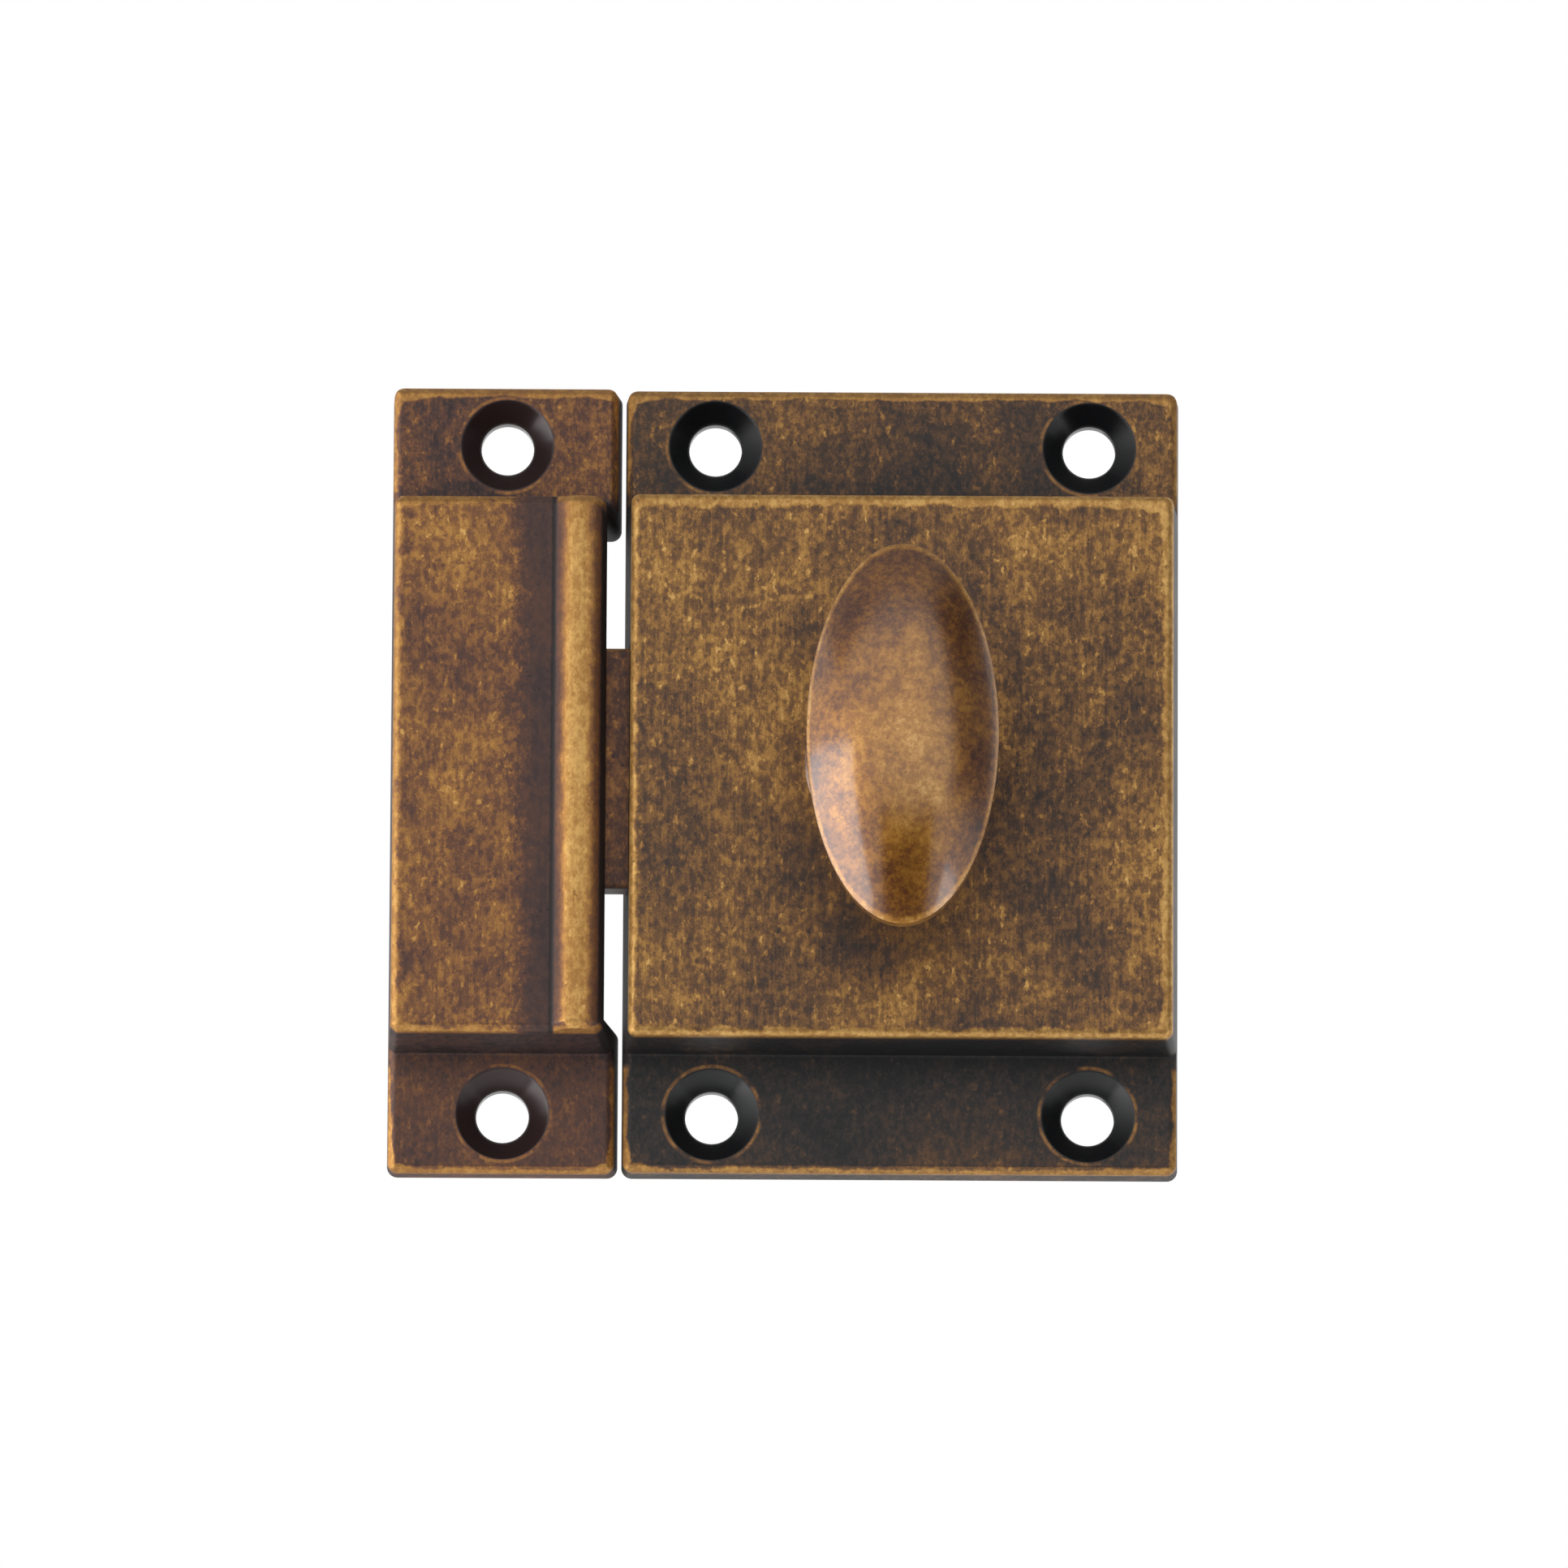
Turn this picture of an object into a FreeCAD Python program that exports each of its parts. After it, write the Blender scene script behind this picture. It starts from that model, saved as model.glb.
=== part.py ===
# Cupboard catch latch: a cast case with an oval turn knob and a sprung bolt, and the strike beside it.
# Millimetres. X runs along the bolt, away from the strike, Z is up the door and Y runs into the door.
# The backs of both castings lie in Y = 0 and everything else stands out towards -Y. A depth is a distance
# out from that plane. The origin is on the knob's axis.
import FreeCAD, Part
import math
import os

Vector = FreeCAD.Vector

# Case casting
CASE_WIDTH = 42.0
CASE_DEPTH = 8.8
RAISED_HEIGHT = 42.4
FLANGE_LENGTH = 9.1
FLANGE_THICKNESS = 2.6
FRONT_WALL = 1.9
SIDE_WALL = 2.0
CASE_DRAFT_DEG = 3.5
EDGE_RADIUS = 0.65
FLANGE_CORNER_RADIUS = 0.8
FLANGE_EDGE_CHAMFER = 0.45
CAVITY_CORNER_RADIUS = 1.0

# Mounting screw holes, the same in both castings
SCREW_HOLE_DIAMETER = 4.0
COUNTERSINK_DIAMETER = 7.0
HOLE_SIDE_DISTANCE = 6.8
HOLE_END_DISTANCE = 4.5

# Strike casting
STRIKE_WIDTH = 17.4
STRIKE_GAP = 0.3
STRIKE_END_WALL = 2.3
STRIKE_SIDE_WALL = 2.2
STRIKE_SIDE_DRAFT_DEG = 2.0
STRIKE_END_DRAFT_DEG = 6.0
STRIKE_END_CHAMFER = 0.45
LIP_SETBACK = 1.2
MOUTH_RADIUS = 0.8
RIB_WIDTH = 3.8
RIB_RISE = 0.85
RIB_CROWN = 0.15
RIB_RAMP = 1.0
RIB_ROUND = 1.4

# Latch bolt
TONGUE_HEIGHT = 18.5
TONGUE_THICKNESS = 2.5
TONGUE_LAND = 0.6
TONGUE_CLEARANCE = 0.3
ENGAGEMENT = 3.8
BOLT_TRAVEL = 4.7
BOLT_END_BAR = 3.6
BOLT_RAIL = 2.6
BOLT_EDGE_RADIUS = 0.3
SLIDE_CLEARANCE = 0.1

# Knob and spindle
KNOB_LENGTH = 29.0
KNOB_WIDTH = 14.4
KNOB_DOME = 3.6
KNOB_BAND = 2.6
KNOB_CHAMFER = 1.2
KNOB_STANDOFF = 10.4
NECK_DIAMETER = 7.2
NECK_FLARE = 1.2
COLLAR_DIAMETER = 14.6
COLLAR_EDGE = 0.8
COLLAR_HEIGHT = 2.6
SPINDLE_DIAMETER = 6.0
SPINDLE_SQUARE = 4.2
BEARING_CLEARANCE = 0.05

# Cam on the spindle's square
KNOB_TURN_DEG = 50.0
CAM_HALF_WIDTH = 3.5
CAM_CLEARANCE = 0.1
WINDOW_CLEARANCE = 0.4
SQUARE_CLEARANCE = 0.03
CAM_WASHER_DIAMETER = 5.8
CAM_WASHER_THICKNESS = 0.5
CAM_SCREW_DIAMETER = 2.4
CAM_SCREW_HEAD_DIAMETER = 4.6
CAM_SCREW_HEAD = 0.8
CAM_SCREW_LENGTH = 3.6
FLANK_POINTS = 9

# Bolt spring, a bowed strip that is nearly flat when the bolt is drawn back
SPRING_WIDTH = 4.0
SPRING_THICKNESS = 0.35
SPRING_HALF_SPAN = 9.5
SPRING_FLAT_ROOM = 2.2
SPRING_SEAT_GAP = 0.05

# Back plate and its screws
PLATE_THICKNESS = 1.0
PLATE_LEDGE = 1.0
PLATE_RECESS = 0.05
PLATE_CLEARANCE = 0.15
POST_DIAMETER = 4.6
POST_INSET = 2.9
PLATE_SCREW_DIAMETER = 1.8
PLATE_SCREW_HEAD_DIAMETER = 3.2
PLATE_SCREW_LENGTH = 4.0
SCREW_CLEARANCE = 0.03
GUIDE_RIB = 1.2
DRIVER_SLOT_WIDTH = 0.5
DRIVER_SLOT_DEPTH = 0.35

# How far a cutting shape runs past the face that it cuts, and how near two places are to count as one
OVERRUN = 1.0
SAME_PLACE = 1e-4

# Sizes that follow from the ones above
half_width = CASE_WIDTH / 2
raised_half = RAISED_HEIGHT / 2
half_height = raised_half + FLANGE_LENGTH
case_slope = math.tan(math.radians(CASE_DRAFT_DEG))
floor_depth = CASE_DEPTH - FRONT_WALL
cavity_x = half_width - CASE_DEPTH * case_slope - SIDE_WALL
cavity_z = raised_half - SIDE_WALL
plate_front = PLATE_RECESS + PLATE_THICKNESS
bolt_front = floor_depth - SLIDE_CLEARANCE
bolt_back = plate_front + SLIDE_CLEARANCE

strike_right = -half_width - STRIKE_GAP
strike_left = strike_right - STRIKE_WIDTH
lip_edge = strike_right - LIP_SETBACK
pocket_roof = bolt_front + TONGUE_CLEARANCE
pocket_z = raised_half - STRIKE_END_WALL

# The flank of the cam is the involute of this circle, so the bolt moves in step with the knob's angle
involute_radius = BOLT_TRAVEL / math.radians(KNOB_TURN_DEG)
cam_reach = CAM_HALF_WIDTH + BOLT_TRAVEL
cam_tip = math.hypot(cam_reach, involute_radius)
cam_front = floor_depth - SLIDE_CLEARANCE
washer_back = plate_front + SLIDE_CLEARANCE + CAM_SCREW_HEAD
cam_back = washer_back + CAM_WASHER_THICKNESS

bolt_left = -cavity_x + SLIDE_CLEARANCE
window_x = (-cam_reach - BOLT_TRAVEL - WINDOW_CLEARANCE, CAM_HALF_WIDTH + CAM_CLEARANCE)
window_z = cam_tip + WINDOW_CLEARANCE
bolt_right = window_x[1] + BOLT_END_BAR
bolt_z = window_z + BOLT_RAIL

knob_seat = CASE_DEPTH + SLIDE_CLEARANCE
knob_rim = CASE_DEPTH + KNOB_STANDOFF
spring_depth = (bolt_back + bolt_front) / 2
spring_wall = bolt_right + BOLT_TRAVEL + SPRING_FLAT_ROOM

hole_z = half_height - HOLE_END_DISTANCE
case_hole_x = half_width - HOLE_SIDE_DISTANCE
strike_hole_x = (strike_left + strike_right) / 2
case_holes = [(x, z) for x in (-case_hole_x, case_hole_x) for z in (-hole_z, hole_z)]
strike_holes = [(strike_hole_x, z) for z in (-hole_z, hole_z)]
post_x = cavity_x - POST_INSET
post_z = cavity_z - POST_INSET
posts = [(-post_x, post_z), (post_x, -post_z)]


def both_ways(half):
    return (-half, half)


def block(x, depth, z):
    """A box between two values of X, of depth and of Z."""
    corner = Vector(x[0], -depth[1], z[0])
    return Part.makeBox(x[1] - x[0], depth[1] - depth[0], z[1] - z[0], corner)


def tapered_block(x, depth, z, lean_x, lean_z):
    """A box whose sides lean in by these pairs of amounts between its back and its front."""
    return Part.makeWedge(
        x[0] + lean_x[0], -depth[1], z[0] + lean_z[0], z[0], x[0],
        x[1] - lean_x[1], -depth[0], z[1] - lean_z[1], z[1], x[1],
    )


def bar(diameter, depth, place=(0.0, 0.0)):
    """A round bar standing straight out from the door at a place in X and Z."""
    foot = Vector(place[0], -depth[0], place[1])
    return Part.makeCylinder(diameter / 2, depth[1] - depth[0], foot, Vector(0, -1, 0))


def taper(back_diameter, front_diameter, depth, place=(0.0, 0.0)):
    """A round taper standing straight out from the door at a place in X and Z."""
    foot = Vector(place[0], -depth[0], place[1])
    length = depth[1] - depth[0]
    return Part.makeCone(back_diameter / 2, front_diameter / 2, length, foot, Vector(0, -1, 0))


def at(across, depth):
    """A point in the plane Z = 0."""
    return Vector(across, -depth, 0)


def line(start, end):
    return Part.LineSegment(start, end).toShape()


def arc(start, middle, end):
    return Part.Arc(start, middle, end).toShape()


def round_off(start, corner, end):
    """An arc from start to end in place of the square corner between them."""
    centre = start + end - corner
    return arc(start, centre + (corner - centre) * math.sqrt(0.5), end)


def outline(corners):
    """Straight edges from each corner to the next, and back to the first."""
    return [line(start, end) for start, end in zip(corners, corners[1:] + corners[:1])]


def prism(edges, z):
    """The outline that the edges draw in the plane Z = 0, extruded between two values of Z."""
    face = Part.Face(Part.Wire(edges))
    face.translate(Vector(0, 0, z[0]))
    return face.extrude(Vector(0, 0, z[1] - z[0]))


def turned(edges):
    """The outline that the edges draw beside the knob's axis, turned about that axis."""
    return Part.Face(Part.Wire(edges)).revolve(Vector(0, 0, 0), Vector(0, 1, 0), 360)


def rounded(shape, radius, wanted):
    """The shape with a fillet on each edge that passes the test."""
    return shape.makeFillet(radius, [edge for edge in shape.Edges if wanted(edge)])


def chamfered(shape, size, wanted):
    """The shape with a chamfer on each edge that passes the test."""
    return shape.makeChamfer(size, [edge for edge in shape.Edges if wanted(edge)])


def runs_outwards(edge):
    """True for a straight edge that runs from the back of a casting towards its front."""
    ends = [vertex.Point for vertex in edge.Vertexes]
    if len(ends) != 2 or edge.Curve.TypeId != "Part::GeomLine":
        return False
    step = ends[1] - ends[0]
    return abs(step.y) > math.hypot(step.x, step.z)


def lies_at(depth):
    """A test for an edge that lies wholly at one depth."""
    return lambda edge: all(abs(vertex.Y + depth) < SAME_PLACE for vertex in edge.Vertexes)


def on_raised_rim(edge):
    """True for an edge of the raised face, and for a corner between two raised walls."""
    foot = min(-vertex.Y for vertex in edge.Vertexes)
    return lies_at(CASE_DEPTH)(edge) or (runs_outwards(edge) and foot > FLANGE_THICKNESS - SAME_PLACE)


def on_hood_end(edge):
    """True for an edge round either end wall of the strike's hood, but not for the foot of that wall."""
    ends = [vertex.Point for vertex in edge.Vertexes]
    above_flange = max(-point.y for point in ends) > FLANGE_THICKNESS + SAME_PLACE
    on_end_wall = max(abs(point.z) for point in ends) < raised_half + SAME_PLACE
    return above_flange and on_end_wall and ends[0].z * ends[-1].z > 0


def at_flange_corner(edge):
    """True for the upright edge at a corner of a flange."""
    return runs_outwards(edge) and min(abs(vertex.Z) for vertex in edge.Vertexes) > hole_z


def at_mouth(edge):
    """True for the edge where an end wall of the strike's pocket meets its open side."""
    beyond_lip = min(vertex.X for vertex in edge.Vertexes) > lip_edge - SAME_PLACE
    on_wall = all(abs(abs(vertex.Z) - pocket_z) < SAME_PLACE for vertex in edge.Vertexes)
    return beyond_lip and on_wall and runs_outwards(edge)


def on_flange_rim(edge):
    """True for a front edge of a flange, but not for the foot of a raised wall."""
    reach = max(abs(vertex.Z) for vertex in edge.Vertexes)
    return reach > raised_half + SAME_PLACE and lies_at(FLANGE_THICKNESS)(edge)


def flange_clearing(x, draft_deg):
    """Two blocks that clear the room over the flanges and leave drafted end walls."""
    depth = (FLANGE_THICKNESS, CASE_DEPTH + RIB_RISE + OVERRUN)
    lean = (depth[1] - depth[0]) * math.tan(math.radians(draft_deg))
    far = half_height + OVERRUN
    upper = tapered_block(x, depth, (raised_half, far), (0, 0), (-lean, 0))
    lower = tapered_block(x, depth, (-far, -raised_half), (0, 0), (0, -lean))
    return [upper, lower]


def screw_holes(places):
    """Countersunk holes through a flange, with seats of 90 degrees."""
    seat = FLANGE_THICKNESS - (COUNTERSINK_DIAMETER - SCREW_HOLE_DIAMETER) / 2
    through = [bar(SCREW_HOLE_DIAMETER, (-OVERRUN, FLANGE_THICKNESS), place) for place in places]
    seats = [
        taper(SCREW_HOLE_DIAMETER, COUNTERSINK_DIAMETER, (seat, FLANGE_THICKNESS), place)
        for place in places
    ]
    return through + seats


def make_case():
    """The drafted shell: flanges, the bolt's slot, guide ribs, screw posts and the spring's abutment."""
    lean = CASE_DEPTH * case_slope
    shell = tapered_block(
        both_ways(half_width), (0, CASE_DEPTH), both_ways(half_height), (lean, lean), (lean, lean)
    )
    shell = shell.cut(flange_clearing(both_ways(CASE_WIDTH), CASE_DRAFT_DEG))
    shell = rounded(shell, EDGE_RADIUS, on_raised_rim)
    shell = chamfered(shell, FLANGE_EDGE_CHAMFER, on_flange_rim)
    shell = rounded(shell, FLANGE_CORNER_RADIUS, at_flange_corner)

    cavity = block(both_ways(cavity_x), (-OVERRUN, floor_depth), both_ways(cavity_z))
    ledge = block(
        both_ways(cavity_x + PLATE_LEDGE), (-OVERRUN, plate_front), both_ways(cavity_z + PLATE_LEDGE)
    )
    hollow = [rounded(tool, CAVITY_CORNER_RADIUS, runs_outwards) for tool in (cavity, ledge)]
    shell = shell.cut(hollow + screw_holes(case_holes))

    inside = (plate_front, floor_depth)
    rib_z = bolt_z + SLIDE_CLEARANCE
    ribs = [
        block(both_ways(cavity_x), inside, z)
        for z in ((rib_z, rib_z + GUIDE_RIB), (-rib_z - GUIDE_RIB, -rib_z))
    ]
    abutment = block((spring_wall, spring_wall + GUIDE_RIB), inside, both_ways(rib_z))
    columns = [bar(POST_DIAMETER, inside, place) for place in posts]
    shell = shell.fuse(ribs + [abutment] + columns)

    slot = block(
        (-half_width - OVERRUN, -cavity_x),
        (bolt_front - TONGUE_THICKNESS - SLIDE_CLEARANCE, floor_depth),
        both_ways(TONGUE_HEIGHT / 2 + SLIDE_CLEARANCE),
    )
    bore = bar(SPINDLE_DIAMETER + 2 * BEARING_CLEARANCE, (floor_depth, CASE_DEPTH))
    pilot_end = PLATE_RECESS + PLATE_SCREW_LENGTH + SCREW_CLEARANCE
    pilots = [
        bar(PLATE_SCREW_DIAMETER + 2 * SCREW_CLEARANCE, (plate_front, pilot_end), place) for place in posts
    ]
    return shell.cut([slot, bore] + pilots).removeSplitter()


def strike_outline():
    """Section of the strike: side wall, flat face, crowned rib and the sloping side that faces the case."""
    shoulder = strike_left + CASE_DEPTH * math.tan(math.radians(STRIKE_SIDE_DRAFT_DEG))
    crest = CASE_DEPTH + RIB_RISE
    rib_left = lip_edge - RIB_WIDTH
    side_top = at(shoulder, CASE_DEPTH - EDGE_RADIUS)
    face_left = at(shoulder + EDGE_RADIUS, CASE_DEPTH)
    rib_foot = at(rib_left, CASE_DEPTH)
    ramp_top = at(rib_left + RIB_RAMP, crest)
    roll_top = at(lip_edge - RIB_ROUND, crest)
    crown = (ramp_top + roll_top) / 2 - Vector(0, RIB_CROWN, 0)
    roll_end = at(lip_edge, crest - RIB_ROUND)
    return [
        line(at(strike_left, 0), side_top),
        round_off(side_top, at(shoulder, CASE_DEPTH), face_left),
        line(face_left, rib_foot),
        line(rib_foot, ramp_top),
        arc(ramp_top, crown, roll_top),
        round_off(roll_top, at(lip_edge, crest), roll_end),
        line(roll_end, at(strike_right, 0)),
        line(at(strike_right, 0), at(strike_left, 0)),
    ]


def make_strike():
    """The keeper: a hood with a rib along its mouth, open behind and towards the case, and two flanges."""
    hood = prism(strike_outline(), both_ways(half_height))
    hood = hood.cut(flange_clearing((strike_left - OVERRUN, strike_right + OVERRUN), STRIKE_END_DRAFT_DEG))
    hood = chamfered(hood, STRIKE_END_CHAMFER, on_hood_end)
    hood = chamfered(hood, FLANGE_EDGE_CHAMFER, on_flange_rim)
    hood = rounded(hood, FLANGE_CORNER_RADIUS, at_flange_corner)
    pocket = block(
        (strike_left + STRIKE_SIDE_WALL, strike_right + CAVITY_CORNER_RADIUS + OVERRUN),
        (-OVERRUN, pocket_roof),
        both_ways(pocket_z),
    )
    pocket = rounded(pocket, CAVITY_CORNER_RADIUS, runs_outwards)
    hood = rounded(hood.cut(pocket), MOUTH_RADIUS, at_mouth)
    return hood.cut(screw_holes(strike_holes)).removeSplitter()


def make_latch_bolt():
    """The bolt: a tongue with a bevelled nose, on a frame that surrounds the cam."""
    frame = block((bolt_left, bolt_right), (bolt_back, bolt_front), both_ways(bolt_z))
    frame = rounded(frame, BOLT_EDGE_RADIUS, runs_outwards)
    window = block(window_x, (bolt_back - OVERRUN, bolt_front + OVERRUN), both_ways(window_z))
    tip = lip_edge - ENGAGEMENT
    back = bolt_front - TONGUE_THICKNESS
    root = bolt_left + OVERRUN
    corners = [
        at(root, bolt_front),
        at(tip, bolt_front),
        at(tip, bolt_front - TONGUE_LAND),
        at(tip + TONGUE_THICKNESS - TONGUE_LAND, back),
        at(root, back),
    ]
    tongue = prism(outline(corners), both_ways(TONGUE_HEIGHT / 2))
    tongue = rounded(tongue, BOLT_EDGE_RADIUS, lies_at(bolt_front))
    return frame.fuse(tongue).cut(window).removeSplitter()


def dome_radius(half_chord):
    """Radius of an arc that rises by the knob's dome over this half chord."""
    return (half_chord**2 + KNOB_DOME**2) / (2 * KNOB_DOME)


def knob_head():
    """The oval grip: an elliptical blank under a dome, a long arc turned about a line along the grip."""
    back = knob_rim - KNOB_BAND / 2
    top = knob_rim + KNOB_BAND / 2 + KNOB_DOME
    length = KNOB_LENGTH / 2
    oval = Part.Ellipse(Vector(0, -back, length), Vector(KNOB_WIDTH / 2, -back, 0), at(0, back))
    blank = Part.Face(Part.Wire(oval.toShape())).extrude(Vector(0, back - top, 0))
    blank = chamfered(blank, KNOB_CHAMFER, lies_at(back))

    spread = length + OVERRUN
    drop = dome_radius(length) - math.sqrt(dome_radius(length) ** 2 - spread**2)
    axis_depth = top - dome_radius(KNOB_WIDTH / 2)
    low, high = Vector(0, drop - top, -spread), Vector(0, drop - top, spread)
    axis_low, axis_high = Vector(0, -axis_depth, -spread), Vector(0, -axis_depth, spread)
    edges = [
        arc(low, at(0, top), high),
        line(high, axis_high),
        line(axis_high, axis_low),
        line(axis_low, low),
    ]
    half = Part.Face(Part.Wire(edges))
    half.rotate(axis_low, Vector(0, 0, 1), -90)
    return blank.common(half.revolve(axis_low, Vector(0, 0, 1), 180))


def make_turn_knob():
    """The knob in one piece: oval grip, flared neck, coned collar, and the spindle with its squared end."""
    collar_edge = knob_seat + COLLAR_EDGE
    collar_top = knob_seat + COLLAR_HEIGHT
    neck_top = knob_rim - KNOB_BAND / 2
    neck = NECK_DIAMETER / 2
    collar = COLLAR_DIAMETER / 2
    corners = [
        at(0, knob_seat),
        at(collar, knob_seat),
        at(collar, collar_edge),
        at(neck, collar_top),
        at(neck, neck_top - NECK_FLARE),
        at(neck + NECK_FLARE, neck_top),
        at(0, neck_top),
    ]
    spindle = bar(SPINDLE_DIAMETER, (cam_front, knob_seat))
    square_end = cam_back + SLIDE_CLEARANCE
    square = block(both_ways(SPINDLE_SQUARE / 2), (square_end, cam_front), both_ways(SPINDLE_SQUARE / 2))
    tapped_end = washer_back + CAM_SCREW_LENGTH + SCREW_CLEARANCE
    tapped = bar(CAM_SCREW_DIAMETER + 2 * SCREW_CLEARANCE, (square_end, tapped_end))
    return knob_head().fuse([turned(outline(corners)), spindle, square]).cut(tapped).removeSplitter()


def flank_point(angle):
    """The point of the cam's flank that meets the bolt once the knob has turned by this angle."""
    reach = CAM_HALF_WIDTH + involute_radius * angle
    across = reach * math.cos(angle) - involute_radius * math.sin(angle)
    up = reach * math.sin(angle) + involute_radius * math.cos(angle)
    return Vector(across, -cam_back, up)


def make_cam():
    """A cam with two horns and involute flanks, so that the knob draws the bolt either way it turns."""
    full_turn = math.radians(KNOB_TURN_DEG)
    flank = [flank_point(full_turn * step / (FLANK_POINTS - 1)) for step in range(FLANK_POINTS)]
    edges = []
    for side in (1, -1):
        right = [Vector(side * point.x, point.y, side * point.z) for point in flank]
        left = [Vector(-side * point.x, point.y, side * point.z) for point in flank]
        for points in (right, left):
            curve = Part.BSplineCurve()
            curve.interpolate(points)
            edges.append(curve.toShape())
        edges.append(arc(right[-1], Vector(0, -cam_back, side * cam_tip), left[-1]))
        edges.append(line(right[0], Vector(right[0].x, right[0].y, -right[0].z)))
    profile = Part.Face(Part.Wire(Part.__sortEdges__(edges)))
    blank = profile.extrude(Vector(0, cam_back - cam_front, 0))
    half_square = SPINDLE_SQUARE / 2 + SQUARE_CLEARANCE
    hole = block(both_ways(half_square), (cam_back - OVERRUN, cam_front + OVERRUN), both_ways(half_square))
    return blank.cut(hole)


def make_cam_washer():
    """The flat washer that keeps the cam on the spindle's square."""
    depth = (washer_back, cam_back)
    return bar(CAM_WASHER_DIAMETER, depth).cut(bar(CAM_SCREW_DIAMETER + 2 * SLIDE_CLEARANCE, depth))


def driver_slot(length, depth, place=(0.0, 0.0)):
    """The slot for a screwdriver, cut into a head from behind."""
    x = (place[0] - length / 2, place[0] + length / 2)
    z = (place[1] - DRIVER_SLOT_WIDTH / 2, place[1] + DRIVER_SLOT_WIDTH / 2)
    return block(x, (depth - OVERRUN, depth + DRIVER_SLOT_DEPTH), z)


def make_cam_screw():
    """The cheese-head screw in the end of the spindle."""
    head_back = washer_back - CAM_SCREW_HEAD
    head = bar(CAM_SCREW_HEAD_DIAMETER, (head_back, washer_back))
    shank = bar(CAM_SCREW_DIAMETER, (washer_back, washer_back + CAM_SCREW_LENGTH))
    return head.fuse(shank).cut(driver_slot(CAM_SCREW_HEAD_DIAMETER + OVERRUN, head_back)).removeSplitter()


def make_bolt_spring():
    """The bowed strip between the bolt's tail and its abutment in the case."""
    crown = bolt_right + SPRING_SEAT_GAP
    foot = spring_wall - SPRING_SEAT_GAP
    rise = foot - crown
    radius = (SPRING_HALF_SPAN**2 + rise**2) / (2 * rise)
    depth = (spring_depth - SPRING_WIDTH / 2, spring_depth + SPRING_WIDTH / 2)
    centre = (crown + radius, 0.0)
    hoop = bar(2 * radius, depth, centre).cut(bar(2 * (radius - SPRING_THICKNESS), depth, centre))
    return hoop.common(block((crown, foot), depth, both_ways(radius)))


def make_back_plate():
    """The sheet that closes the back of the case, with countersunk holes for its screws."""
    reach = PLATE_LEDGE - PLATE_CLEARANCE
    sheet = block(both_ways(cavity_x + reach), (PLATE_RECESS, plate_front), both_ways(cavity_z + reach))
    sheet = rounded(sheet, CAVITY_CORNER_RADIUS, runs_outwards)
    return sheet.cut([plate_screw_body(place, SCREW_CLEARANCE, OVERRUN) for place in posts])


def plate_screw_body(place, grown=0.0, behind=0.0):
    """A countersunk screw without its slot, or the room for one when grown by a clearance."""
    head = PLATE_SCREW_HEAD_DIAMETER + 2 * grown
    shank = PLATE_SCREW_DIAMETER + 2 * grown
    seat = PLATE_RECESS + (head - shank) / 2
    body = taper(head, shank, (PLATE_RECESS, seat), place)
    body = body.fuse(bar(shank, (seat, PLATE_RECESS + PLATE_SCREW_LENGTH), place))
    if behind:
        body = body.fuse(bar(head, (PLATE_RECESS - behind, PLATE_RECESS), place))
    return body


def make_back_plate_screws():
    """The countersunk screws, from behind the plate into the posts of the case."""
    slot_length = PLATE_SCREW_HEAD_DIAMETER + OVERRUN
    return Part.makeCompound([
        plate_screw_body(place).cut(driver_slot(slot_length, PLATE_RECESS, place)).removeSplitter()
        for place in posts
    ])


os.makedirs("parts", exist_ok=True)
for maker in (
    make_case,
    make_strike,
    make_latch_bolt,
    make_turn_knob,
    make_cam,
    make_cam_washer,
    make_cam_screw,
    make_bolt_spring,
    make_back_plate,
    make_back_plate_screws,
):
    name = maker.__name__.removeprefix("make_")
    maker().exportStep("parts/" + name + ".step")
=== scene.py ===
import math

import bmesh
import bpy
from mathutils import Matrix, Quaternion, Vector


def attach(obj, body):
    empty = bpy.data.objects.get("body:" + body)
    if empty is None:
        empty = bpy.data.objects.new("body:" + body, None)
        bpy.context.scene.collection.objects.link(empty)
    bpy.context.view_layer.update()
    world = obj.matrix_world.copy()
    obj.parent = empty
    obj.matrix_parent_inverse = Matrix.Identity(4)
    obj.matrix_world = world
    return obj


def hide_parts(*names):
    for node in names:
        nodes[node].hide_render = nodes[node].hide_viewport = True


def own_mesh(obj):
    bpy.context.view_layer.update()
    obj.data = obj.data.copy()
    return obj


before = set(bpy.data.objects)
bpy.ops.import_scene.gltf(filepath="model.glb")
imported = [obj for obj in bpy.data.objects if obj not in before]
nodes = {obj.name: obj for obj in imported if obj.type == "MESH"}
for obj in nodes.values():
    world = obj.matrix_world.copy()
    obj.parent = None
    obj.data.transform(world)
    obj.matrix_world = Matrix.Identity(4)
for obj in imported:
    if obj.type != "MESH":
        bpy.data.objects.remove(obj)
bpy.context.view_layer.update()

scene = bpy.context.scene
MM = 0.001

# View settings and camera
scene.view_settings.view_transform = "Standard"
CAMERA_TARGET = Vector((-0.00886, 0.0, 0.0002))
CAMERA_PITCH = math.radians(-11.4)
CAMERA_ROLL = math.radians(0.31)
CAMERA_DISTANCE = 1.5
CAMERA_SENSOR = 36.0
CAMERA_LENS = 454.0
CAMERA_REACH = 10.0

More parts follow.
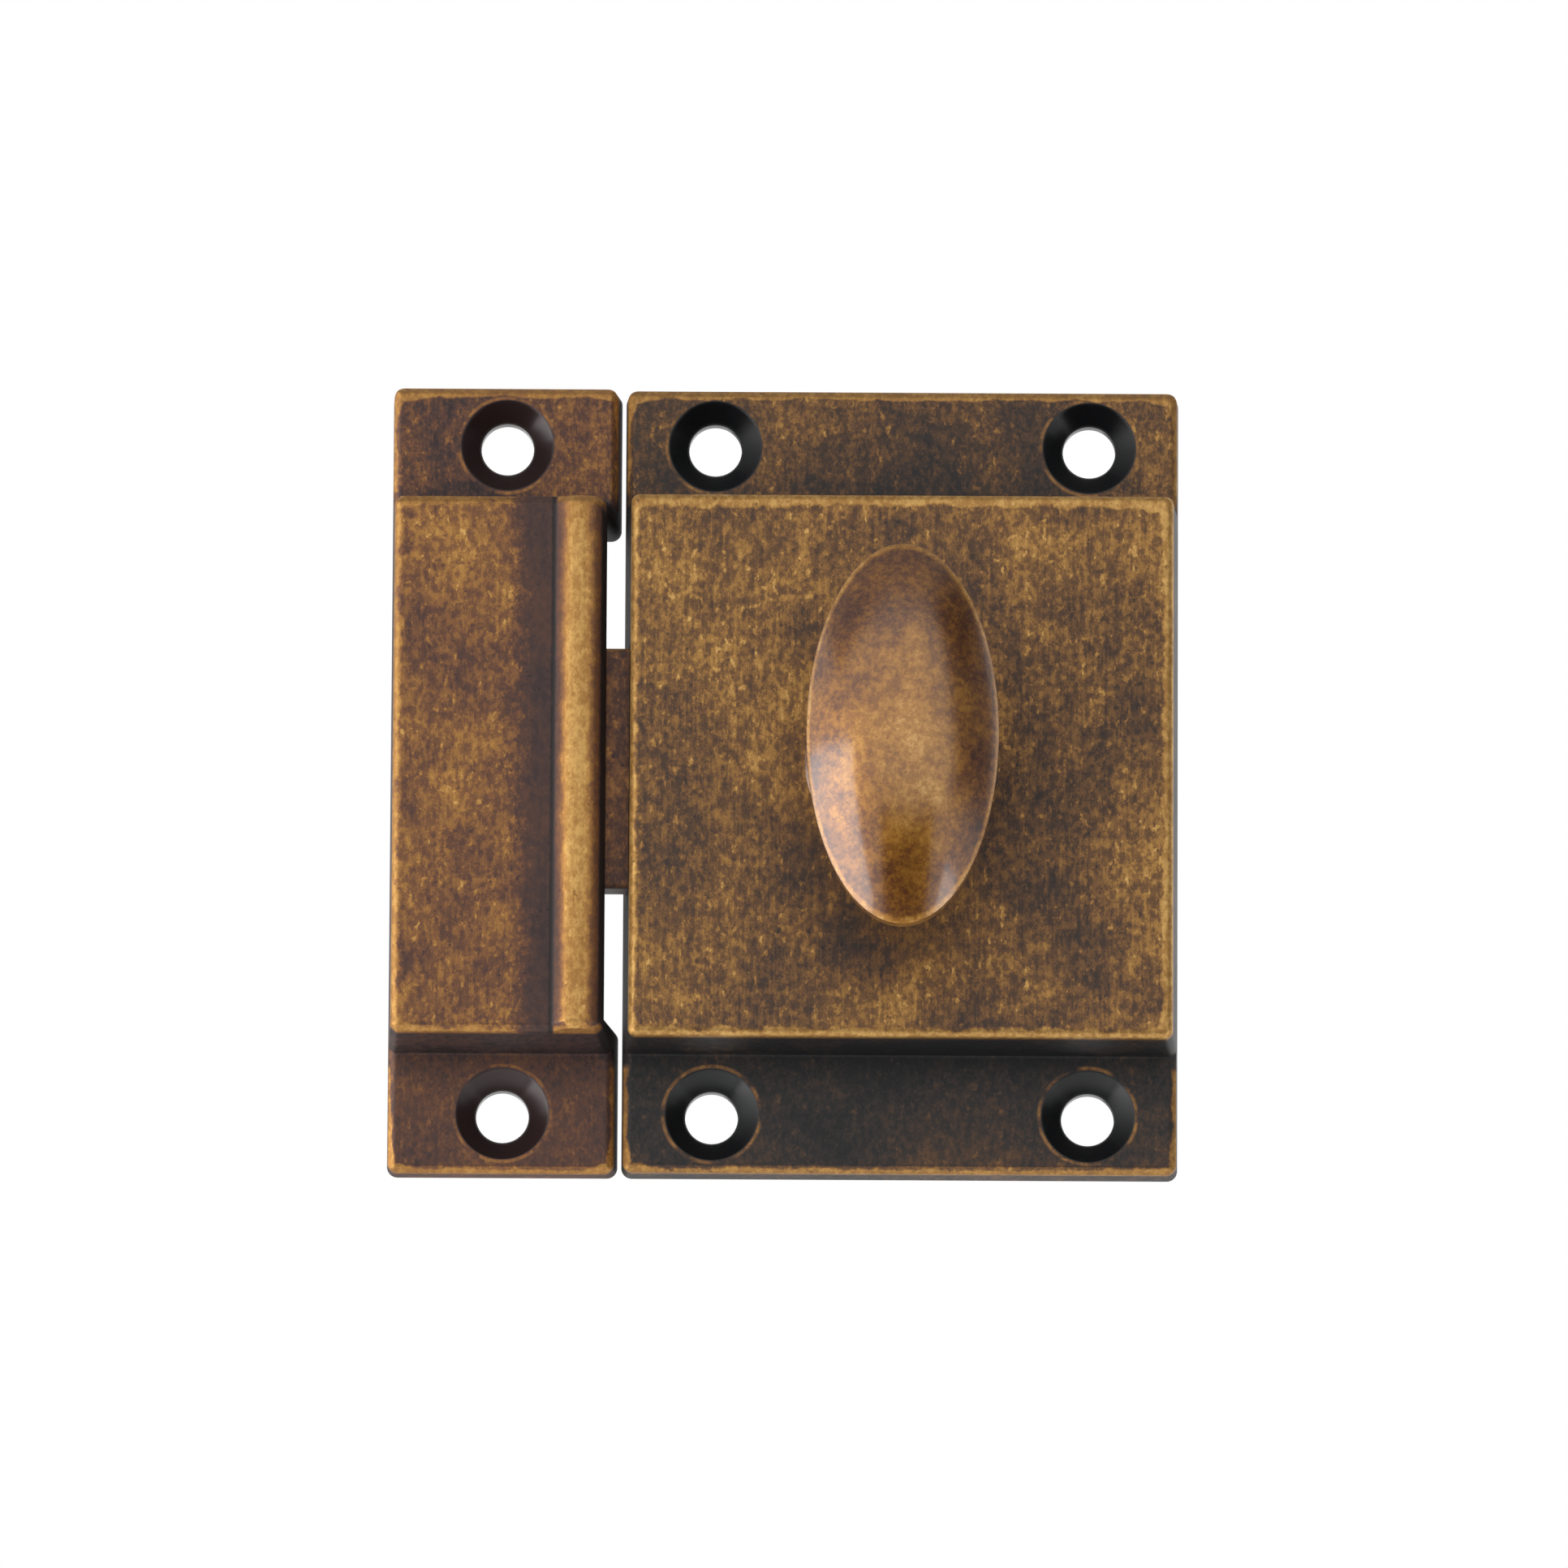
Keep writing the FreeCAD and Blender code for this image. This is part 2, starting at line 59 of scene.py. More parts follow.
camera_data = bpy.data.cameras.new("camera")
camera_data.sensor_width = CAMERA_SENSOR
camera_data.lens = CAMERA_LENS
camera_data.clip_end = CAMERA_REACH
camera = bpy.data.objects.new("camera", camera_data)
scene.collection.objects.link(camera)
back = Vector((0.0, -math.cos(CAMERA_PITCH), math.sin(CAMERA_PITCH)))
camera.location = CAMERA_TARGET + back * CAMERA_DISTANCE
camera.rotation_mode = "QUATERNION"
camera.rotation_quaternion = (-back).to_track_quat("-Z", "Y") @ Quaternion((0, 0, 1), CAMERA_ROLL)
scene.camera = camera

# Settings that all the materials share
NOISE_SCALE = 0.55
NOISE_CONTRAST = 3.0
HOLLOW_SAMPLES = 8
BEVEL_SAMPLES = 6


def srgb(red, green, blue):
    """Linear colour from 8-bit display values."""
    def linear(value):
        value /= 255.0
        return value / 12.92 if value <= 0.04045 else ((value + 0.055) / 1.055) ** 2.4
    return (linear(red), linear(green), linear(blue), 1.0)


class Value:
    """A number that varies over the surface, with arithmetic."""

    def __init__(self, graph, socket):
        self.graph = graph
        self.socket = socket

    def __add__(self, other):
        return self.graph.math("ADD", self, other)

    def __radd__(self, other):
        return self.graph.math("ADD", self, other)

    def __sub__(self, other):
        return self.graph.math("SUBTRACT", self, other)

    def __rsub__(self, other):
        return self.graph.math("SUBTRACT", other, self)

    def __mul__(self, other):
        return self.graph.math("MULTIPLY", self, other)

    def __rmul__(self, other):
        return self.graph.math("MULTIPLY", self, other)

    def __abs__(self):
        return self.graph.math("ABSOLUTE", self)


class Graph:
    """The node tree of one material, with short calls for the nodes it uses."""

    def __init__(self, name):
        self.material = bpy.data.materials.new(name)
        self.material.use_nodes = True
        self.tree = self.material.node_tree
        self.shader = self.tree.nodes["Principled BSDF"]
        coordinates = self.tree.nodes.new("ShaderNodeTexCoord")
        scaled = self.tree.nodes.new("ShaderNodeVectorMath")
        scaled.operation = "SCALE"
        scaled.inputs["Scale"].default_value = 1.0 / MM
        self.tree.links.new(coordinates.outputs["Object"], scaled.inputs[0])
        self.place = scaled.outputs[0]
        self.x, self.y, self.z = self.split(self.place)
        self.depth = self.y * -1.0
        self.normal_x, self.normal_y, self.normal_z = self.split(coordinates.outputs["Normal"])
        self.facing = self.normal_y * -1.0

    def put(self, socket, value):
        """Links a varying value or a colour to a socket, or sets a constant on it."""
        if isinstance(value, Value):
            self.tree.links.new(value.socket, socket)
        elif isinstance(value, bpy.types.NodeSocket):
            self.tree.links.new(value, socket)
        else:
            socket.default_value = value

    def split(self, vector):
        node = self.tree.nodes.new("ShaderNodeSeparateXYZ")
        self.tree.links.new(vector, node.inputs[0])
        return [Value(self, socket) for socket in node.outputs]

    def math(self, operation, first, second=None, clamp=False):
        node = self.tree.nodes.new("ShaderNodeMath")
        node.operation = operation
        node.use_clamp = clamp
        self.put(node.inputs[0], first)
        if second is not None:
            self.put(node.inputs[1], second)
        return Value(self, node.outputs[0])

    def clamp(self, value):
        return self.math("ADD", value, 0.0, clamp=True)

    def smaller(self, first, second):
        return self.math("MINIMUM", first, second)

    def larger(self, first, second):
        return self.math("MAXIMUM", first, second)

    def step(self, value, low, high):
        """0 below low and 1 above high, with a smooth change between; low may be the larger."""
        node = self.tree.nodes.new("ShaderNodeMapRange")
        node.interpolation_type = "SMOOTHSTEP"
        if low > high:
            low, high, ends = high, low, (1.0, 0.0)
        else:
            ends = (0.0, 1.0)
        self.put(node.inputs["Value"], value)
        node.inputs["From Min"].default_value = low
        node.inputs["From Max"].default_value = high
        node.inputs["To Min"].default_value = ends[0]
        node.inputs["To Max"].default_value = ends[1]
        return Value(self, node.outputs["Result"])

    def noise(self, size, detail=3.0, rough=0.55, stretch=(1.0, 1.0, 1.0), shift=0.0):
        """Noise about zero, mostly within 0.6 of it, with lumps about this many millimetres wide."""
        mapping = self.tree.nodes.new("ShaderNodeMapping")
        self.tree.links.new(self.place, mapping.inputs["Vector"])
        mapping.inputs["Location"].default_value = (shift, shift * 0.7, shift * 1.3)
        mapping.inputs["Scale"].default_value = [part / size for part in stretch]
        node = self.tree.nodes.new("ShaderNodeTexNoise")
        node.inputs["Scale"].default_value = NOISE_SCALE
        node.inputs["Detail"].default_value = detail
        node.inputs["Roughness"].default_value = rough
        self.tree.links.new(mapping.outputs[0], node.inputs["Vector"])
        return (Value(self, node.outputs[0]) - 0.5) * NOISE_CONTRAST

    def distance(self, first, second):
        return self.math("SQRT", first * first + second * second)

    def hollow(self, distance):
        """How shut in a point is by its own piece within this many millimetres."""
        node = self.tree.nodes.new("ShaderNodeAmbientOcclusion")
        node.only_local = True
        node.samples = HOLLOW_SAMPLES
        node.inputs["Distance"].default_value = distance * MM
        return 1.0 - Value(self, node.outputs["AO"])

    def ramp(self, value, stops):
        node = self.tree.nodes.new("ShaderNodeValToRGB")
        elements = node.color_ramp.elements
        elements[0].position, elements[0].color = stops[0][0], srgb(*stops[0][1])
        elements[1].position, elements[1].color = stops[-1][0], srgb(*stops[-1][1])
        for position, colour in stops[1:-1]:
            elements.new(position).color = srgb(*colour)
        self.put(node.inputs["Fac"], value)
        return node.outputs["Color"]

    def blend(self, share, first, second):
        """A mix of two colours given as 8-bit values."""
        node = self.tree.nodes.new("ShaderNodeMix")
        node.data_type = "RGBA"
        self.put(node.inputs["Factor"], share)
        node.inputs[6].default_value = srgb(*first)
        node.inputs[7].default_value = srgb(*second)
        return node.outputs[2]

    def bump(self, height, strength, distance, softened):
        """Relief of this depth, over edges that look softened by this radius, in millimetres."""
        node = self.tree.nodes.new("ShaderNodeBump")
        node.inputs["Strength"].default_value = strength
        node.inputs["Distance"].default_value = distance * MM
        self.put(node.inputs["Height"], height)
        bevel = self.tree.nodes.new("ShaderNodeBevel")
        bevel.samples = BEVEL_SAMPLES
        bevel.inputs["Radius"].default_value = softened * MM
        self.tree.links.new(bevel.outputs[0], node.inputs["Normal"])
        self.tree.links.new(node.outputs[0], self.shader.inputs["Normal"])

    def finish(self, colour, metallic, roughness, specular):
        """Sets the shader's main values and gives the material."""
        self.put(self.shader.inputs["Base Color"], colour)
        self.put(self.shader.inputs["Metallic"], metallic)
        self.put(self.shader.inputs["Roughness"], roughness)
        self.shader.inputs["Specular IOR Level"].default_value = specular
        return self.material


# Patina colours by wear, from 0, black lacquer, to 1, bright brass
CASE_STOPS = [
    (0.0, (24, 25, 27)), (0.2, (46, 39, 36)), (0.4, (82, 61, 47)), (0.6, (125, 91, 60)),
    (0.8, (174, 130, 73)), (1.0, (220, 176, 106)),
]
STRIKE_STOPS = [
    (0.0, (30, 21, 19)), (0.2, (60, 44, 43)), (0.4, (96, 65, 52)), (0.6, (136, 94, 62)),
    (0.8, (178, 130, 71)), (1.0, (218, 172, 102)),
]
KNOB_STOPS = [
    (0.0, (44, 18, 8)), (0.25, (82, 42, 18)), (0.45, (118, 70, 26)), (0.65, (154, 100, 28)),
    (0.85, (184, 128, 46)), (1.0, (212, 160, 84)),
]

# Places on the two castings, in millimetres
RAISED_FROM, RAISED_FULL = 7.3, 8.2
FLANGE_EDGE_FROM, FLANGE_EDGE_FULL = 1.2, 2.0
FLANGE_FROM, FLANGE_FULL = 21.6, 22.4
HOLE_UP = 25.8
SEAT_OUTSIDE, SEAT_INSIDE = 3.62, 3.46
RING_RADIUS = 3.66
FLANGE_RIM = 0.38
CORNER_FROM, CORNER_FULL = 3.0, 0.2
UNDERSIDE_FROM, UNDERSIDE_FULL = 29.4, 29.7

CASE_FACE_LEFT, CASE_FACE_RIGHT, CASE_FACE_BOTTOM, CASE_FACE_TOP = -20.46, 20.2, -20.82, 20.35
CASE_FACE_RIM = 0.75
CASE_FLANGE_SIDE, CASE_FLANGE_BOTTOM, CASE_FLANGE_TOP = 20.84, -30.14, 29.75
CASE_HOLE_ACROSS = 14.2
CASE_FLANGE_FROM, CASE_FLANGE_FULL = 20.6, 21.4

STRIKE_FACE_LEFT, STRIKE_FACE_BOTTOM, STRIKE_FACE_TOP = -38.39, -20.8, 20.5
STRIKE_FACE_RIM = 0.85
STRIKE_FLANGE_LEFT, STRIKE_FLANGE_RIGHT = -38.6, -21.5
STRIKE_FLANGE_BOTTOM, STRIKE_FLANGE_TOP = -30.25, 29.8
STRIKE_HOLE_X = -30.0
STRIKE_CREASE_X = -26.35
STRIKE_LUG_FROM, STRIKE_LUG_FULL = -22.9, -22.4
STRIKE_LUG_END, STRIKE_LUG_TOP = 22.0, 21.0

BOLT_TOP = 9.25
BOLT_TONGUE_FROM, BOLT_TONGUE_FULL = -18.0, -19.0
BOLT_RIM = 0.3

KNOB_HALF_WIDTH, KNOB_HALF_HEIGHT = 7.2, 14.5
KNOB_HEAD_FROM, KNOB_HEAD_FULL = 17.0, 18.5


class Casting(Graph):
    """The material of a flanged casting, with masks for its raised face, flanges and holes."""

    def __init__(self, name, shift):
        super().__init__(name)
        self.fret = self.noise(1.3, 5.0, 0.7, shift=shift)
        self.across = abs(self.x)
        self.up = abs(self.z)
        self.raised = self.step(self.depth, RAISED_FROM, RAISED_FULL)
        self.lowered = 1.0 - self.raised
        self.front = self.step(self.facing, 0.35, 0.75)
        # The flanges' bottom sides, which the castings lighten as a painted reflection of the white
        # below
        underside = self.step(self.normal_z, -0.4, -0.6)
        self.underside_sheen = underside * self.step(self.up, UNDERSIDE_FROM, UNDERSIDE_FULL)

    def rim(self, side, end, width):
        """Wear along two edges at these distances, more where they meet in a corner."""
        corner = self.step(self.larger(side, end), CORNER_FROM, CORNER_FULL)
        return worn_edge(self, self.smaller(side, end) - corner * 0.32, width, self.fret)

    def flange_rim(self, side, end):
        rim = self.rim(side, end, FLANGE_RIM) * self.lowered
        rim = rim * self.step(self.depth, FLANGE_EDGE_FROM, FLANGE_EDGE_FULL)
        return rim * self.step(self.up, FLANGE_FROM, FLANGE_FULL)

    def countersinks(self, across):
        """The smooth cones of the holes at this distance across, and the worn rings round them."""
        hole = self.distance(across, self.up - HOLE_UP)
        seat = self.step(hole, SEAT_OUTSIDE, SEAT_INSIDE) * self.step(self.facing, -0.4, 0.0)
        ring = self.step(abs(hole - RING_RADIUS), 0.34, 0.08) * self.step(self.fret, -0.5, 0.2)
        return seat * self.lowered, ring * self.front * self.lowered

    def worn(self, face_rim, flange_rim, ring):
        return self.larger(self.larger(face_rim, flange_rim * 0.9), ring * 0.75)


def worn_edge(graph, distance, width, fret):
    """1 at an edge, fading over about this width to a ragged border."""
    return graph.step(distance + fret * (0.95 * width), 1.35 * width, 0.4 * width)


def patina(graph, level, edges, seat, stops, walls, brushed=0.0, lively=1.0, seat_wear=0.0):
    """Aged brass: level is the mean wear of each place, with painted light and shade added in places,
    and edges are the worn rims.

    Seat marks the smooth dark cones and walls the dull sides. Brushed is the strength of upright
    lines, and lively that of the mottling.
    """
    clouds = graph.noise(6.0, 3.0, shift=3.0)
    blotch = graph.noise(2.4, 8.0, 0.92, stretch=(1.0, 1.0, 0.85), shift=11.0)
    speckle = graph.noise(0.3, 3.0, 0.8, stretch=(1.0, 1.0, 0.7), shift=23.0)
    speckle = graph.step(speckle, -0.3, 0.3) - 0.5
    streaks = graph.noise(0.13, 2.0, 0.6, stretch=(1.0, 1.0, 0.05), shift=31.0)
    pits = graph.step(graph.noise(0.3, 1.0, shift=41.0), 0.6, 0.8)
    flecks = graph.noise(0.34, 2.0, 0.6, stretch=(1.0, 1.0, 0.7), shift=53.0)
    flecks = graph.step(flecks, 0.34, 0.54)
    grain = clouds * 0.28 + blotch * 0.42 + speckle * 0.21 + streaks * brushed + flecks * 0.2
    rubbed = edges * (0.86 + speckle * 0.14 + blotch * 0.2)
    wear_and_shading = graph.larger(level + grain * lively, rubbed) - pits * 0.16
    wear_and_shading = graph.clamp(wear_and_shading * (1.0 - seat) + seat * seat_wear)
    height = (speckle * 0.4 + blotch * 0.4 + streaks * brushed - pits * 0.5) * (1.0 - seat)
    graph.bump(height, 0.3, 0.03, 0.35)
    metallic = 0.2 + graph.step(wear_and_shading, 0.15, 0.8) * 0.6
    roughness = 0.52 - wear_and_shading * 0.1 - seat * 0.3 + walls * 0.3
    return graph.finish(graph.ramp(wear_and_shading, stops), metallic, roughness, 0.5)


def case_brass():
    graph = Casting("case_brass", 61.0)
    sides = graph.smaller(graph.x - CASE_FACE_LEFT, CASE_FACE_RIGHT - graph.x)
    ends = graph.smaller(CASE_FACE_TOP - graph.z, graph.z - CASE_FACE_BOTTOM)
    face_rim = graph.rim(sides, ends, CASE_FACE_RIM) * graph.raised
    ends = graph.smaller(CASE_FLANGE_TOP - graph.z, graph.z - CASE_FLANGE_BOTTOM)
    flange_rim = graph.flange_rim(CASE_FLANGE_SIDE - graph.across, ends)
    seat, ring = graph.countersinks(graph.across - CASE_HOLE_ACROSS)
    flange = graph.lowered * graph.front
    upper = flange * graph.step(graph.z, CASE_FLANGE_FROM, CASE_FLANGE_FULL)
    lower = flange * graph.step(graph.z, -CASE_FLANGE_FROM, -CASE_FLANGE_FULL)
    # Partly darker patina and partly painted shadow of the knob: a darker patch of the face below the
    # knob, to its right
    patina_and_knob_shadow = graph.step(graph.distance(graph.x - 7.0, graph.z * 0.8 + 11.0), 11.0, 3.0)
    # Painted light from the upper left: the face grows lighter to the left and towards the top
    face_wear_and_shading = 0.51 - graph.x * 0.0018 + graph.z * 0.0012 - patina_and_knob_shadow * 0.08
    upper_wear = 0.31 + graph.step(graph.x, -19.0, -4.0) * 0.1
    lower_wear = 0.12 + graph.step(graph.up, 26.0, 30.0) * 0.1
    level = 0.06 + graph.raised * graph.front * face_wear_and_shading + upper * upper_wear + lower * lower_wear
    # Painted shade: darker in the hollows by the walls; painted reflection: the flanges' bottom sides
    # lighter
    level = level - graph.hollow(4.5) * 0.3 * graph.lowered + graph.underside_sheen * 0.22
    edges = graph.worn(face_rim, flange_rim, ring)
    walls = graph.step(graph.normal_x, -0.4, -0.8)
    brushed = graph.raised * 0.08 + 0.03
    return patina(graph, level, edges, seat, CASE_STOPS, walls, brushed, 1.0 - lower * 0.2)


def strike_brass():
    graph = Casting("strike_brass", 67.0)
    raised, front = graph.raised, graph.front
    ends = graph.smaller(STRIKE_FACE_TOP - graph.z, graph.z - STRIKE_FACE_BOTTOM)
    face_rim = graph.rim(graph.x - STRIKE_FACE_LEFT, ends, STRIKE_FACE_RIM) * raised * 0.92
    side = graph.smaller(graph.x - STRIKE_FLANGE_LEFT, STRIKE_FLANGE_RIGHT - graph.x)
    ends = graph.smaller(STRIKE_FLANGE_TOP - graph.z, graph.z - STRIKE_FLANGE_BOTTOM)
    flange_rim = graph.flange_rim(side, ends)
    seat, ring = graph.countersinks(graph.x - STRIKE_HOLE_X)
    lower = graph.lowered * graph.step(graph.z, 1.0, 0.0)
    # From left to right: the dull band, the crease, and the rib's ramp, crest and rolled edge. The
    # crease and the rolled edge are darkened as painted shade
    ragged = graph.noise(1.8, 6.0, 0.85, shift=5.0)
    band = graph.step(graph.x + ragged * 3.2, -29.8, -27.6) * graph.step(graph.x, -26.0, -26.3) * raised
    crease_shade = graph.step(abs(graph.x - STRIKE_CREASE_X), 0.22, 0.05) * raised
    crest = graph.step(graph.x + graph.fret * 0.3, -26.1, -25.0) * raised
    ramp = graph.step(graph.x, -26.4, -26.2) * (1.0 - crest) * raised
    rolled_edge_shade = graph.step(graph.x + graph.fret * 0.3, -24.1, -22.9) * raised
    # Painted shade: the walls by the lug darkened nearly to black
    lug_shade = graph.step(graph.x, STRIKE_LUG_FROM, STRIKE_LUG_FULL)
    lug_shade = lug_shade * graph.step(graph.up, STRIKE_LUG_END, STRIKE_LUG_TOP) * graph.lowered
    front_wear = 0.3 + raised * 0.13 - band * 0.31 + crest * 0.32 - ramp * 0.2 - lower * 0.07
    level = 0.16 + front * front_wear - rolled_edge_shade * 0.34 - crease_shade * 0.25 - lug_shade * 0.3
    # Painted shade: darker in the hollows by the walls; painted reflection: the flanges' bottom sides
    # lighter
    level = level - graph.hollow(4.0) * 0.2 * graph.lowered + graph.underside_sheen * 0.2
    edges = graph.worn(face_rim * (1.0 - band), flange_rim, ring)
    walls = (1.0 - front) * (1.0 - seat) * 0.5
    lively = 1.0 - graph.larger(band, ramp) * 0.65 - crest * 0.45 - lower * 0.35
    return patina(graph, level, edges, seat, STRIKE_STOPS, walls, 0.08, lively, seat_wear=0.13)


def bolt_brass():
    graph = Graph("bolt_brass")
    fret = graph.noise(1.3, 5.0, 0.7, shift=71.0)
    level = 0.38 + graph.step(graph.facing, 0.35, 0.75) * 0.07
    tongue = graph.step(graph.x, BOLT_TONGUE_FROM, BOLT_TONGUE_FULL)
    edges = worn_edge(graph, abs(BOLT_TOP - graph.z), BOLT_RIM, fret) * tongue * 0.8
    return patina(graph, level, edges, 0.0, STRIKE_STOPS, 0.0, lively=0.8)


def knob_brass():
    """Warmer brass under clear lacquer, brightest in the middle of the head partly from handling wear
    and partly as painted reflection, with a painted highlight along its rim.
    """
    graph = Graph("knob_brass")
    head = graph.step(graph.depth, KNOB_HEAD_FROM, KNOB_HEAD_FULL)
    from_middle = graph.distance(graph.x * (1.0 / KNOB_HALF_WIDTH), graph.z * (1.0 / KNOB_HALF_HEIGHT))
    # Painted highlight: a brighter line along the rim of the head
    rim = graph.step(from_middle, 0.955, 0.985) * head
    clouds = graph.noise(6.0, 2.0, shift=3.0)
    blotch = graph.noise(2.0, 8.0, 0.84, shift=17.0)
    speckle = graph.step(graph.noise(0.3, 3.0, 0.8, shift=29.0), -0.3, 0.3) - 0.5
    # Painted reflection of the dark below: the knob darker towards its foot
    foot_dark_reflection = graph.step(graph.z, 0.0, -12.0)
    # Brighter in the middle of the head and darker towards its border: partly handling wear, partly
    # painted reflection
    level = 0.36 + head * (0.5 - graph.clamp(from_middle) * 0.38) - foot_dark_reflection * 0.08
    wear_and_shading = graph.clamp(level + clouds * 0.3 + blotch * 0.46 + speckle * 0.2 + rim * 0.4)
    graph.bump(blotch + speckle * 0.3, 0.08, 0.03, 0.4)
    lacquer = graph.shader.inputs
    lacquer["Coat Weight"].default_value = 1.0
    lacquer["Coat Roughness"].default_value = 0.16
    lacquer["Coat IOR"].default_value = 1.72
    return graph.finish(graph.ramp(wear_and_shading, KNOB_STOPS), 0.75, 0.42, 0.5)


def steel(name, dark, bright, along, roughness):
    """Turned or rolled steel: fine lines in one direction and a little dulling."""
    graph = Graph(name)
    lines = graph.noise(0.2, 3.0, 0.6, stretch=along, shift=7.0)
    dull = graph.noise(3.0, 4.0, 0.6, shift=13.0)
    share = graph.clamp(0.55 + lines * 0.25 + dull * 0.3)
    graph.bump(lines, 0.2, 0.03, 0.1)
    return graph.finish(graph.blend(share, dark, bright), 0.95, roughness + dull * 0.08, 0.5)


def dress(piece, material):
    piece.data.materials.clear()
    piece.data.materials.append(material)


def smooth(piece, angle=40.0):
    """Soft normals across small steps and creases at sharp ones."""
    piece.data.shade_smooth()
    piece.data.set_sharp_from_angle(angle=math.radians(angle))
    weighted = piece.modifiers.new("weighted_normals", "WEIGHTED_NORMAL")
    weighted.keep_sharp = True
    weighted.weight = 100


case_material = case_brass()
strike_material = strike_brass()
bolt_material = bolt_brass()
knob_material = knob_brass()
steel_material = steel("steel", (104, 103, 102), (168, 167, 166), (1.0, 0.2, 1.0), 0.42)
plate_material = steel("plate_steel", (98, 94, 90), (150, 146, 140), (0.06, 1.0, 1.0), 0.5)
spring_material = steel("spring_steel", (60, 66, 82), (112, 118, 132), (1.0, 1.0, 0.06), 0.36)

for name, material in (
    ("case", case_material),
    ("strike", strike_material),
    ("latch_bolt", bolt_material),
    ("turn_knob", knob_material),
    ("cam", steel_material),
    ("cam_washer", steel_material),
    ("cam_screw", steel_material),
    ("back_plate_screws", steel_material),
    ("back_plate", plate_material),
    ("bolt_spring", spring_material),
):
    dress(nodes[name], material)
    smooth(nodes[name])

# The bowed spring, which flattens as the bolt is drawn back
SPRING_CROWN = 7.25
SPRING_FOOT = 14.05
SPRING_HALF_SPAN = 9.5
SPRING_THICKNESS = 0.35
SPRING_SOFT_EDGE = 0.08
SPRING_BACK, SPRING_FRONT = 1.98, 5.97
SPRING_FOOT_GAP = 0.02
SPRING_CROWN_GAP = 0.01
SPRING_ARC_SHARE = 0.985
SPRING_STEPS = 64


def spring_section():
    """The strip's outline as pairs of thickness and depth, with its corners cut."""
    inner, outer = SPRING_SOFT_EDGE, SPRING_THICKNESS - SPRING_SOFT_EDGE
    low, high = SPRING_BACK + SPRING_SOFT_EDGE, SPRING_FRONT - SPRING_SOFT_EDGE
    return [
        (0.0, low), (0.0, high), (inner, SPRING_FRONT), (outer, SPRING_FRONT),
        (SPRING_THICKNESS, high), (SPRING_THICKNESS, low), (outer, SPRING_BACK), (inner, SPRING_BACK),
    ]


def bowed_spring():
    """A strip bent to an arc, with softened long edges."""
    rise = SPRING_FOOT - SPRING_CROWN - SPRING_FOOT_GAP
    radius = (SPRING_HALF_SPAN ** 2 + rise ** 2) / (2 * rise)
    half_angle = math.asin(SPRING_HALF_SPAN / radius) * SPRING_ARC_SHARE
    section = spring_section()
    shape = bmesh.new()
    rings = []
    for step in range(SPRING_STEPS + 1):
        angle = half_angle * (2.0 * step / SPRING_STEPS - 1.0)
        ring = []
        for inward, depth in section:
            reach = radius - SPRING_CROWN_GAP - inward
            across = SPRING_CROWN + radius - reach * math.cos(angle)
            ring.append(shape.verts.new((across * MM, -depth * MM, reach * math.sin(angle) * MM)))
        rings.append(ring)
    for near, far in zip(rings, rings[1:]):
        for index in range(len(section)):
            after = (index + 1) % len(section)
            shape.faces.new((near[index], near[after], far[after], far[index]))
    shape.faces.new(list(reversed(rings[0])))
    shape.faces.new(rings[-1])
    bmesh.ops.recalc_face_normals(shape, faces=shape.faces)
    mesh = bpy.data.meshes.new("spring_strip")
    shape.to_mesh(mesh)
    shape.free()
    piece = bpy.data.objects.new("spring_strip", mesh)
    scene.collection.objects.link(piece)
    return piece


spring = bowed_spring()
dress(spring, spring_material)
smooth(spring)
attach(spring, "case")
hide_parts("bolt_spring")
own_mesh(spring)

# Studio: white world, pale floor, soft lamps and dark panels that only reflections show
WORLD_FILL = 0.5
WORLD_WHITE = 1.0
PANEL_COLOUR = srgb(14, 13, 12)
FLOOR_HEIGHT = -0.42
FLOOR_SIZE = 12.0
FLOOR_GLOW = 0.36
FLOOR_DARK, FLOOR_PALE = (238, 238, 237), (244, 244, 243)


def shows_backdrop(tree):
    """1 for the rays that should see a white backdrop: from the camera, mirrors and glass."""
    path = tree.nodes.new("ShaderNodeLightPath")
    shown = path.outputs["Is Camera Ray"]
    for name in ("Is Glossy Ray", "Is Transmission Ray"):
        either = tree.nodes.new("ShaderNodeMath")
        either.operation = "MAXIMUM"
        tree.links.new(shown, either.inputs[0])
        tree.links.new(path.outputs[name], either.inputs[1])
        shown = either.outputs[0]
    return shown


def studio_world():
    world = bpy.data.worlds.new("studio")
    world.use_nodes = True
    tree = world.node_tree
    tree.nodes.clear()
    choice = tree.nodes.new("ShaderNodeMixShader")
    tree.links.new(shows_backdrop(tree), choice.inputs[0])
    for socket, strength in ((choice.inputs[1], WORLD_FILL), (choice.inputs[2], WORLD_WHITE)):
        background = tree.nodes.new("ShaderNodeBackground")
        background.inputs["Color"].default_value = (1.0, 1.0, 1.0, 1.0)
        background.inputs["Strength"].default_value = strength
        tree.links.new(background.outputs[0], socket)
    output = tree.nodes.new("ShaderNodeOutputWorld")
    tree.links.new(choice.outputs[0], output.inputs[0])
    scene.world = world


studio_world()


def direction(azimuth, pitch):
    """Unit vector, with azimuth 0 in front of the object and 90 to its right, and pitch upwards."""
    azimuth, pitch = math.radians(azimuth), math.radians(pitch)
    return Vector((
        math.sin(azimuth) * math.cos(pitch), -math.cos(azimuth) * math.cos(pitch), math.sin(pitch)
    ))


def aim(piece, azimuth, pitch, distance):
    """Puts a lamp or panel at a place round the object, facing it."""
    piece.location = CAMERA_TARGET + direction(azimuth, pitch) * distance
    piece.rotation_mode = "QUATERNION"
    piece.rotation_quaternion = (CAMERA_TARGET - piece.location).to_track_quat("-Z", "Y")


